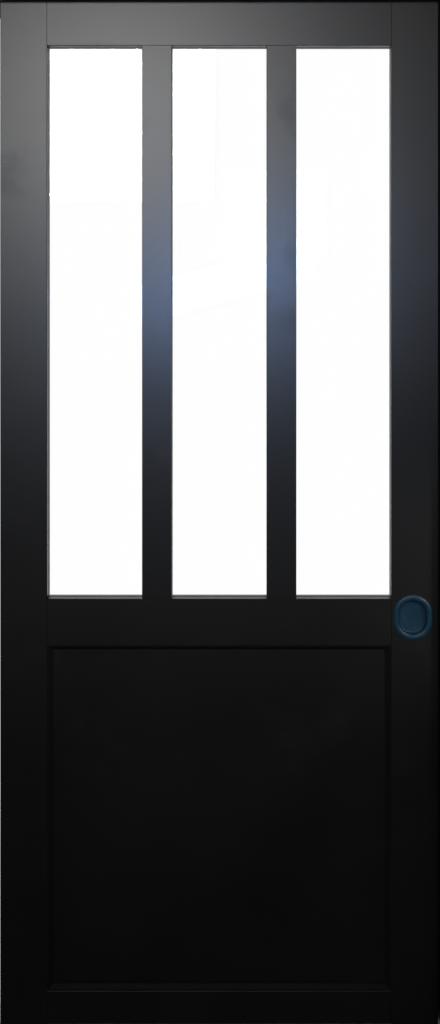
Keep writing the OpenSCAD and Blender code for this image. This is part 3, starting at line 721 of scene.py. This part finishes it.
class ScrewTool(FastenerTool):
    """Countersunk wood screws with a cross recess."""

    CORE, TIP_LENGTH, TIP_END = 0.68, 2.0, 0.12  # shares of the screw's radius
    SMOOTH = 0.3  # the share of the length that has no thread
    SLOT_LENGTH, SLOT_WIDTH = 1.1, 0.24  # shares of the head's radius
    SLOT_DEPTH = 1.1  # twice the share of the head's depth, as half of the block stands out of it
    SHANK_SIDES, COLLAR_SIDES, HEAD_SIDES = 20, 24, 40

    def __init__(self) -> None:
        """Builds the tree."""
        super().__init__("countersunk_screws", {
            "Radius": FLOAT, "Head Radius": FLOAT, "Length": FLOAT, "Pitch": FLOAT, "Seed": WHOLE,
            "Finish": FINISH})
        graph = self.graph
        radius, head, length = self.value("Radius"), self.value("Head Radius"), self.value("Length")
        core = graph.math("MULTIPLY", radius, self.CORE)
        sink = graph.math("SUBTRACT", head, radius)
        tip = graph.math("MULTIPLY", radius, self.TIP_LENGTH)
        smooth_end = graph.math("MULTIPLY", length, self.SMOOTH)
        body_end = graph.math("SUBTRACT", length, tip)
        shank = graph.add("GeometryNodeMeshCylinder", {
            "Vertices": self.SHANK_SIDES, "Radius": core,
            "Depth": graph.math("SUBTRACT", body_end, sink)}).outputs[0]
        middle = graph.math("MULTIPLY", graph.math("ADD", body_end, sink), 0.5)
        collar = graph.add("GeometryNodeMeshCylinder", {
            "Vertices": self.COLLAR_SIDES, "Radius": radius,
            "Depth": graph.math("SUBTRACT", smooth_end, sink)}).outputs[0]
        collar_middle = graph.math("MULTIPLY", graph.math("ADD", smooth_end, sink), 0.5)
        point = graph.add("GeometryNodeMeshCone", {
            "Vertices": self.SHANK_SIDES, "Radius Bottom": core,
            "Radius Top": graph.math("MULTIPLY", radius, self.TIP_END), "Depth": tip}).outputs[0]
        wound = self.thread(
            core, radius, self.value("Pitch"), graph.math("SUBTRACT", body_end, smooth_end))
        self.set_out(self.joined(
            self._head(head, radius, sink), self.smooth(self.raised(shank, middle)),
            self.smooth(self.raised(collar, collar_middle)), self.smooth(self.raised(point, body_end)),
            self.raised(wound, smooth_end)))

    def _head(self, head: Socket, radius: Socket, sink: Socket) -> Socket:
        """Makes the head with its cross recess.

        Args:
            head: The radius of its face.
            radius: The radius of the shank.
            sink: Its depth.

        Returns:
            The head.
        """
        graph = self.graph
        cone = graph.add("GeometryNodeMeshCone", {
            "Vertices": self.HEAD_SIDES, "Radius Bottom": head, "Radius Top": radius,
            "Depth": sink}).outputs[0]
        long_side = graph.math("MULTIPLY", head, self.SLOT_LENGTH)
        short_side = graph.math("MULTIPLY", head, self.SLOT_WIDTH)
        deep = graph.math("MULTIPLY", sink, self.SLOT_DEPTH)
        slots = []
        for size in ((long_side, short_side), (short_side, long_side)):
            block = graph.add("ShaderNodeCombineXYZ", {"X": size[0], "Y": size[1], "Z": deep}).outputs[0]
            slots.append(graph.add("GeometryNodeMeshCube", {"Size": block}).outputs[0])
        cross = graph.add("GeometryNodeMeshBoolean", operation="UNION", solver="EXACT")
        for slot in slots:
            self.tree.links.new(slot, cross.inputs["Mesh 2"])
        cut = graph.add("GeometryNodeMeshBoolean", {"Mesh 1": cone}, operation="DIFFERENCE", solver="EXACT")
        self.tree.links.new(cross.outputs[0], cut.inputs["Mesh 2"])
        return cut.outputs[0]


class BoltTool(FastenerTool):
    """Hexagon bolts threaded all the way."""

    THREAD_DEPTH = 0.55  # the share of the pitch
    SHANK_SIDES, HEAD_SIDES = 32, 6

    def __init__(self) -> None:
        """Builds the tree."""
        super().__init__("hexagon_bolts", {
            "Radius": FLOAT, "Corner Radius": FLOAT, "Length": FLOAT, "Head Height": FLOAT, "Pitch": FLOAT,
            "Seed": WHOLE, "Finish": FINISH})
        graph = self.graph
        radius, length, tall = self.value("Radius"), self.value("Length"), self.value("Head Height")
        pitch = self.value("Pitch")
        core = graph.math("SUBTRACT", radius, graph.math("MULTIPLY", pitch, self.THREAD_DEPTH))
        shank = graph.add("GeometryNodeMeshCylinder", {
            "Vertices": self.SHANK_SIDES, "Radius": core, "Depth": length}).outputs[0]
        head = graph.add("GeometryNodeMeshCylinder", {
            "Vertices": self.HEAD_SIDES, "Radius": self.value("Corner Radius"), "Depth": tall}).outputs[0]
        wound = self.thread(core, radius, pitch, graph.math("SUBTRACT", length, pitch))
        self.set_out(self.joined(
            self.smooth(self.raised(shank, graph.math("MULTIPLY", length, 0.5))),
            self.raised(head, graph.math("MULTIPLY", tall, -0.5)), self.smooth(wound)))


class PullTool(Tool):
    """A section swept round an oval, open at the dish and at the back."""

    def __init__(self) -> None:
        """Builds the tree."""
        super().__init__("swept_pull", {
            "Path Radius": FLOAT, "Straight": FLOAT, "Steps": WHOLE, "Finish": FINISH})
        graph = self.graph
        path = self._oval(self.value("Path Radius"))
        level = graph.add("GeometryNodeSetCurveNormal", {"Curve": path}, mode="Z_UP").outputs[0]
        section = graph.add("GeometryNodeMeshToCurve", {"Mesh": self.source.outputs["Geometry"]}).outputs[0]
        swept = graph.add("GeometryNodeCurveToMesh", {"Curve": level, "Profile Curve": section}).outputs[0]
        self.finish(self.smooth(swept))

    def _oval(self, radius: Socket) -> Socket:
        """Draws the oval: a circle whose upper and lower halves are moved apart.

        Args:
            radius: The radius of its ends.

        Returns:
            The curve.
        """
        graph = self.graph
        circle = graph.add("GeometryNodeCurvePrimitiveCircle", {
            "Resolution": self.value("Steps"), "Radius": radius}).outputs[0]
        half_step = graph.math("DIVIDE", math.pi, self.value("Steps"))
        turn = graph.add("ShaderNodeCombineXYZ", {"Z": half_step}).outputs[0]
        turned = graph.add("GeometryNodeTransform", {"Geometry": circle, "Rotation": turn}).outputs[0]
        place = graph.add("GeometryNodeInputPosition").outputs[0]
        height = graph.add("ShaderNodeSeparateXYZ", {0: place}).outputs["Y"]
        half = graph.math("MULTIPLY", self.value("Straight"), 0.5)
        shift = graph.math("MULTIPLY", graph.math("SIGN", height), half)
        offset = graph.add("ShaderNodeCombineXYZ", {"Y": shift}).outputs[0]
        return graph.add("GeometryNodeSetPosition", {"Geometry": turned, "Offset": offset}).outputs[0]


@dataclass
class Leaf:
    """The painted leaf with its glass and panel."""

    finishes: Finishes
    upright: tuple[str, ...] = (
        "left_stile", "right_stile", "left_glazing_bar", "right_glazing_bar", "lower_panel")
    level: tuple[str, ...] = ("top_rail", "middle_rail", "bottom_rail")
    beads: tuple[str, ...] = ("left_glazing_beads", "middle_glazing_beads", "right_glazing_beads")
    mouldings: tuple[str, ...] = ("front_panel_moulding", "rear_panel_moulding")
    panes: tuple[str, ...] = ("left_glass", "middle_glass", "right_glass")

    def dress(self) -> None:
        """Paints the wood with the grain of each board and glazes the panes."""
        dress(self.finishes.upright_paint, *self.upright, *self.beads)
        dress(self.finishes.level_paint, *self.level)
        dress(self.finishes.dull_level, *self.mouldings)
        dress(self.finishes.glass, *self.panes)


@dataclass
class Pull:
    """The dished pulls on both faces of the leaf; sizes in millimetres, their oval from the solids."""

    finishes: Finishes
    rim_width: float = 12.0
    rim_height: float = 3.0
    depth: float = 8.0
    wall: float = 2.0
    slope: float = 2.0
    fillet: float = 1.4
    fillet_steps: tuple[float, ...] = (0.35, 0.7, 1.0)
    fillet_lean: float = 0.12  # the share of the slope that it takes up
    fillet_rise: float = 0.7  # its height as a share of its size
    lip: tuple[float, float] = (-0.25, -0.7)  # the upper end of the wall, from the rim's inner foot
    steps: int = 144
    rim_steps: int = 14
    weld: float = 0.01
    sharp_angle: float = 40.0

    def section(self) -> list[tuple[float, float]]:
        """Draws the section from the dish's floor over the rim to the back.

        Returns:
            Points as distance outwards from the rim's crest and height over the leaf's face.
        """
        face = -self.rim_width / 2
        floor = face - self.slope
        arc = ((self.rim_width / 2) ** 2 + self.rim_height ** 2) / (2 * self.rim_height)
        reach = math.asin(self.rim_width / 2 / arc)
        points = [(floor - self.fillet, -self.depth)]
        for step in self.fillet_steps:
            points.append((
                floor - self.fillet * (1 - step) + self.slope * self.fillet_lean * step * step,
                -self.depth + self.fillet * self.fillet_rise * step * step))
        points.append((face + self.lip[0], self.lip[1]))
        for step in range(self.rim_steps + 1):
            turn = -reach + 2 * reach * step / self.rim_steps
            points.append((arc * math.sin(turn), self.rim_height - arc + arc * math.cos(turn)))
        back = face + self.wall
        return points + [(back, 0.0), (back, -self.depth - self.wall)]

    def build(self) -> None:
        """Sweeps one pull for each face of the leaf."""
        tool = PullTool()
        for node, facing in (("front_pull", -1), ("rear_pull", 1)):
            name = node + "_dish"
            mesh = bpy.data.meshes.new(name + "_section")
            section = [(out * MM, -up * MM, 0.0) for out, up in self.section()]
            mesh.from_pydata(section, [(i, i + 1) for i in range(len(section) - 1)], [])
            low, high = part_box(node)
            width, height = high.x - low.x, high.z - low.z
            piece = tool.run(
                name, mesh, Path_Radius=(width - self.rim_width * MM) / 2, Straight=height - width,
                Steps=self.steps, Finish=self.finishes.pull)
            face = (high.y if facing < 0 else low.y) + facing * (self.depth + self.wall) * MM
            self._seat(piece, Vector(((low.x + high.x) / 2, face, (low.z + high.z) / 2)), facing)
            piece_for(piece, "leaf", "pull_metal", node)

    def _seat(self, piece: bpy.types.Object, centre: Vector, facing: int) -> None:
        """Closes a swept pull and puts it on the leaf.

        Args:
            piece: The pull as swept, with its face turned to +z.
            centre: Its middle on the leaf's face.
            facing: -1 for the front of the leaf, 1 for the back.
        """
        form = bmesh.new()
        form.from_mesh(piece.data)
        bmesh.ops.remove_doubles(form, verts=form.verts, dist=self.weld * MM)
        edges = [edge for edge in form.edges if edge.is_boundary]
        bmesh.ops.holes_fill(form, edges=edges, sides=0)
        for vert in form.verts:
            x, y, z = vert.co
            vert.co = (centre.x + x, centre.y + facing * z, centre.z + y)
        bmesh.ops.recalc_face_normals(form, faces=form.faces)
        form.to_mesh(piece.data)
        form.free()
        piece.data.set_sharp_from_angle(angle=math.radians(self.sharp_angle))


class Aim(Enum):
    """Which way the screws of a node point; those that point inward do so from both sides."""

    UP = (0.0, 0.0, 1.0)
    DOWN = (0.0, 0.0, -1.0)
    BACK = (0.0, 1.0, 0.0)
    INWARD = (1.0, 0.0, 0.0)


def even(count: int) -> tuple[float, ...]:
    """Spaces two or more places evenly from 0 to 1."""
    return tuple(i / (count - 1) for i in range(count))


@dataclass(frozen=True)
class ScrewRow:
    """The screws of one node; sizes in millimetres, places as shares of the node's box."""

    node: str
    diameter: float
    length: float
    aim: Aim
    across: tuple[float, ...]
    along: tuple[float, ...] = MIDDLE
    pitch: float = 1.8
    body: str = "frame"
    slot: str = "zinc_steel"

    def places(self) -> tuple[list[Point], list[Point]]:
        """Finds where the heads are and which way they aim.

        Returns:
            The places and the aims.
        """
        low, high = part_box(self.node)
        edge = self.diameter * MM
        places: list[Point] = []
        aims: list[Point] = []

        def between(axis: int, share: float) -> float:
            """Gives a coordinate by its share of the box between the outer screws."""
            return low[axis] + edge + share * (high[axis] - low[axis] - 2 * edge)

        for first in self.across:
            for second in self.along:
                x, y, z = between(0, first), between(1, second), between(2, second)
                aim = self.aim.value
                if self.aim is Aim.UP:
                    z = low.z
                elif self.aim is Aim.DOWN:
                    z = high.z
                elif self.aim is Aim.BACK:
                    y = low.y
                else:
                    x, z = high.x if first else low.x, between(2, *MIDDLE)
                    aim = (-aim[0], 0.0, 0.0) if first else aim
                places.append((x, y, z))
                aims.append(aim)
        return places, aims


@dataclass
class Fasteners:
    """The screws of the frame and the leaf; sizes in millimetres."""

    finishes: Finishes
    plate_spacing: float = 66.0  # between the two rows of screws in a top plate
    plates_reach: float = 670.0  # between the outer rows of both plates

    def rows(self) -> list[ScrewRow]:
        """Lists the rows of screws.

        Returns:
            One row for each node of screws.
        """
        pair = even(2)
        inner = self.plate_spacing / self.plates_reach
        plates = (0.0, inner, (self.plates_reach - self.plate_spacing) / self.plates_reach, 1.0)
        return [
            ScrewRow("jamb_screws", 6.0, 90.0, Aim.INWARD, pair, pair, pitch=2.6),
            ScrewRow("front_fascia_screws", 4.0, 45.0, Aim.BACK, even(5), slot="black_screws"),
            ScrewRow("rear_fascia_screws", 4.0, 70.0, Aim.DOWN, even(5)),
            ScrewRow("post_screws", 5.0, 90.0, Aim.DOWN, MIDDLE, pair, pitch=2.2),
            ScrewRow("track_screws", 4.0, 26.0, Aim.UP, even(6)),
            ScrewRow("guide_screws", 4.0, 35.0, Aim.BACK, MIDDLE, pair),
            ScrewRow("top_plate_screws", 4.0, 32.0, Aim.DOWN, plates, pair, body="leaf")]

    def build(self) -> None:
        """Makes every row of screws."""
        tool = ScrewTool()
        for seed, row in enumerate(self.rows()):
            black = row.slot == "black_screws"
            name = "threaded_" + row.node
            piece = tool.run(
                name, points_mesh(name + "_places", *row.places()), Radius=row.diameter / 2 * MM,
                Head_Radius=row.diameter * MM, Length=row.length * MM, Pitch=row.pitch * MM, Seed=seed,
                Finish=self.finishes.phosphate if black else self.finishes.zinc)
            piece_for(piece, row.body, row.slot, row.node)


@dataclass
class HangingGear:
    """The trolleys, wheels, bolts and plates that carry the leaf; sizes in millimetres."""

    finishes: Finishes
    bolt_radius: float = 4.0
    bolt_head: float = 5.28
    bolt_corner: float = 7.5055
    bolt_pitch: float = 1.25
    wheelsets: tuple[str, ...] = ("left_outer", "left_inner", "right_inner", "right_outer")

    def build(self) -> None:
        """Makes the two hanger bolts."""
        tool = BoltTool()
        for seed, side in enumerate(("left", "right")):
            node = side + "_hanger_bolt"
            low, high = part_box(node)
            top = high.z - self.bolt_head * MM
            place = ((low.x + high.x) / 2, (low.y + high.y) / 2, top)
            name = "threaded_" + node
            piece = tool.run(
                name, points_mesh(name + "_place", [place], [(0.0, 0.0, -1.0)]),
                Radius=self.bolt_radius * MM, Corner_Radius=self.bolt_corner * MM, Length=top - low.z,
                Head_Height=self.bolt_head * MM, Pitch=self.bolt_pitch * MM, Seed=seed,
                Finish=self.finishes.zinc)
            piece_for(piece, "leaf", "zinc_steel", node)

    def dress(self) -> None:
        """Finishes the plates, nuts, trolleys, axles and wheels."""
        dress(self.finishes.zinc, "left_top_plate", "right_top_plate", "lock_nuts", "clamp_nuts")
        dress(self.finishes.black_nylon, "left_trolley", "right_trolley")
        dress(self.finishes.zinc, *(name + "_axle" for name in self.wheelsets))
        dress(self.finishes.pale_nylon, *(name + "_wheels" for name in self.wheelsets))


@dataclass
class DoorFrame:
    """The fixed frame with its track, stops, seal and floor guide."""

    finishes: Finishes

    def dress(self) -> None:
        """Finishes every fixed node."""
        dress(self.finishes.brushed_upright, "strike_jamb", "end_jamb", "middle_post")
        dress(self.finishes.brushed_level, "head", "front_fascia", "rear_fascia")
        dress(self.finishes.aluminium, "head_track")
        dress(
            self.finishes.zinc, "closing_stop", "opening_stop", "stop_clamps", "stop_screws",
            "guide_bracket")
        dress(self.finishes.rubber, "strike_seal", "closing_buffer", "opening_buffer")
        dress(self.finishes.pale_nylon, "guide_fin")


@dataclass(frozen=True)
class Softbox:
    """A rectangular studio lamp; sizes in metres, angles in degrees."""

    name: str
    place: Point
    target: Point
    size: tuple[float, float]
    watts: float
    colour: Colour = (1.0, 1.0, 1.0)
    roll: float = 0.0
    spread: float = 180.0

    def hang(self) -> None:
        """Puts the lamp up, turned to its target."""
        light = bpy.data.lights.new(self.name, "AREA")
        light.shape = "RECTANGLE"
        light.size, light.size_y = self.size
        light.energy = self.watts
        light.color = self.colour
        light.spread = math.radians(self.spread)
        lamp = bpy.data.objects.new(self.name, light)
        lamp.location = self.place
        lamp.rotation_mode = "QUATERNION"
        aim = Vector(self.target) - Vector(self.place)
        turn = Quaternion((0.0, 0.0, 1.0), math.radians(self.roll))
        lamp.rotation_quaternion = aim.to_track_quat("-Z", "Y") @ turn
        lamp.visible_camera = False
        lamp.visible_transmission = False
        bpy.context.scene.collection.objects.link(lamp)


@dataclass
class Studio:
    """A pale floor that fades into a white ground, soft lamps and the camera; sizes in metres."""

    camera_place: Point = (0.442, -2.509, 1.53)
    camera_tilt: float = 90.0  # degrees up from straight down
    lens: float = 41.3
    shift: tuple[float, float] = (-0.0273, -0.2111)
    behind: Range = (-0.25, 0.3)  # from the dim front of the room to the white ground, along y
    raised: Range = (-0.05, 0.7)  # from the darker to the lighter part of the front, along z
    front_light: Range = (0.012, 0.12)
    fill_light: float = 0.55
    floor_colour: Colour = (0.80, 0.80, 0.79)
    floor_reach: float = 3.2
    floor_sides: int = 96
    floor_squeeze: Point = (0.55, 1.0, 0.0)  # makes the fade longer along x
    floor_fade: Range = (0.55, 1.25)
    floor_drop: float = 0.0006
    lamps: tuple[Softbox, ...] = (
        Softbox("key_softbox", (-0.10, -2.56, 2.32), (0.13, -0.059, 1.90), (0.80, 0.78), 14.7, spread=80.0),
        Softbox("side_softbox", (0.56, -2.56, 1.88), (0.47, -0.059, 1.70), (0.42, 0.36), 2.7, spread=104.0),
        Softbox("cool_softbox", (0.37, -1.06, 1.57), (0.375, -0.059, 1.59), (0.54, 0.11), 2.4,
                (0.20, 0.44, 1.0), 15.0, 84.0),
        Softbox("pull_softbox", (1.32, -0.60, 1.18), (0.786, -0.06, 0.86), (0.18, 0.18), 0.42, spread=50.0),
        Softbox("top_softbox", (0.0, 1.2, 4.4), (0.0, 0.0, 1.0), (3.0, 3.0), 70.0))

    def build(self) -> None:
        """Sets the camera, world, floor and lamps up."""
        self._camera()
        self._world()
        self._floor()
        for lamp in self.lamps:
            lamp.hang()
            LOG.info("hung %s", lamp.name)
        bpy.context.scene.view_settings.view_transform = "Standard"

    def _camera(self) -> None:
        """Sets up the level camera of the photograph."""
        view = bpy.data.cameras.new("photo_camera")
        view.lens = self.lens
        view.shift_x, view.shift_y = self.shift
        camera = bpy.data.objects.new("photo_camera", view)
        camera.location = self.camera_place
        camera.rotation_euler = (math.radians(self.camera_tilt), 0.0, 0.0)
        bpy.context.scene.collection.objects.link(camera)
        bpy.context.scene.camera = camera

    def _world(self) -> None:
        """Makes the ground white to the camera and through glass, and a room dim in front to the rest."""
        world = bpy.data.worlds.new("studio")
        world.use_nodes = True
        world.node_tree.nodes.clear()
        bpy.context.scene.world = world
        graph = Graph(world.node_tree)
        direction = graph.add("ShaderNodeTexCoord").outputs["Generated"]
        axes = graph.add("ShaderNodeSeparateXYZ", {0: direction}).outputs
        behind = graph.ramp(axes["Y"], *self.behind, 0.0, 1.0)
        raised = graph.ramp(axes["Z"], *self.raised, *self.front_light)
        room = graph.math("MAXIMUM", raised, behind)
        paths = graph.add("ShaderNodeLightPath").outputs
        glossy = graph.add(
            "ShaderNodeMix", {"Factor": paths["Is Glossy Ray"], "A": self.fill_light, "B": room},
            data_type="FLOAT").outputs[0]
        straight = graph.math("MAXIMUM", paths["Is Camera Ray"], paths["Is Transmission Ray"])
        level = graph.add(
            "ShaderNodeMix", {"Factor": straight, "A": glossy, "B": 1.0}, data_type="FLOAT").outputs[0]
        ground = graph.add("ShaderNodeBackground", {"Color": (1.0, 1.0, 1.0, 1.0), "Strength": level})
        graph.add("ShaderNodeOutputWorld", {"Surface": ground.outputs[0]})

    def _floor(self) -> None:
        """Lays a floor that fades out away from the door."""
        mesh = bpy.data.meshes.new("studio_floor")
        form = bmesh.new()
        bmesh.ops.create_circle(form, cap_ends=True, radius=self.floor_reach, segments=self.floor_sides)
        bmesh.ops.translate(form, verts=form.verts, vec=(0.0, 0.0, -self.floor_drop))
        form.to_mesh(mesh)
        form.free()
        floor = bpy.data.objects.new("studio_floor", mesh)
        bpy.context.scene.collection.objects.link(floor)
        floor.visible_glossy = False
        mesh.materials.append(self._floor_paint())

    def _floor_paint(self) -> bpy.types.Material:
        """Builds the floor's finish.

        Returns:
            The material, clear away from the door.
        """
        material = bpy.data.materials.new("pale_floor")
        material.use_nodes = True
        material.node_tree.nodes.clear()
        graph = Graph(material.node_tree)
        place = graph.add("ShaderNodeTexCoord").outputs["Object"]
        flat = graph.add("ShaderNodeVectorMath", {0: place, 1: self.floor_squeeze}, operation="MULTIPLY")
        away = graph.add("ShaderNodeVectorMath", {0: flat.outputs[0]}, operation="LENGTH").outputs["Value"]
        clear = graph.ramp(away, *self.floor_fade, 0.0, 1.0)
        pale = graph.add("ShaderNodeBsdfDiffuse", {"Color": (*self.floor_colour, 1.0)}).outputs[0]
        through = graph.add("ShaderNodeBsdfTransparent").outputs[0]
        both = graph.add("ShaderNodeMixShader", {0: clear, 1: pale, 2: through}).outputs[0]
        graph.add("ShaderNodeOutputMaterial", {"Surface": both})
        return material


def main() -> None:
    """Builds the pieces in order and reports each one."""
    logging.basicConfig(level=logging.INFO, format="%(message)s")
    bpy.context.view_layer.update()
    finishes = Finishes()
    Leaf(finishes).dress()
    Pull(finishes).build()
    gear = HangingGear(finishes)
    gear.build()
    gear.dress()
    DoorFrame(finishes).dress()
    Fasteners(finishes).build()
    Studio().build()


if __name__ == "__main__":
    main()
